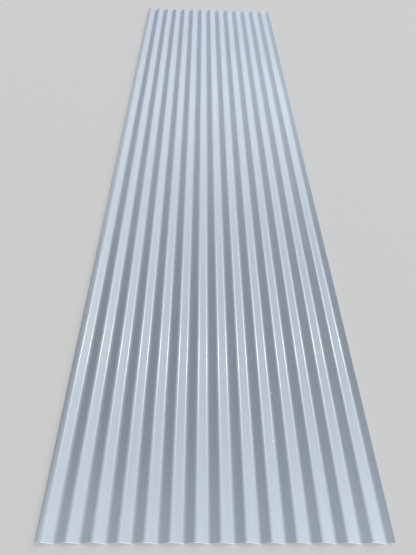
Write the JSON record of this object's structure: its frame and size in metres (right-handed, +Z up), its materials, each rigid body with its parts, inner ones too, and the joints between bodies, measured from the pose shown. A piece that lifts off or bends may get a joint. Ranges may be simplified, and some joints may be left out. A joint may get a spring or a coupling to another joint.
{
  "type": "corrugated metal sheet",
  "caption": "Long corrugated steel sheet with rounded waves running along its length, in pale blue-grey paint, for roofs, walls and fences.",
  "frame": {"origin": "middle of the underside: centre of the length and of the width, at the level of the troughs' undersides", "axes": "+Y along the waves and the length, +X across the waves towards the long edge that points up, +Z up"},
  "size_m": [1.0746, 4.2672, 0.017],
  "materials": {
    "painted_steel": "satin"
  },
  "bodies": {
    "root": {"corrugated_sheet": "painted_steel"}
  },
  "joints": []
}
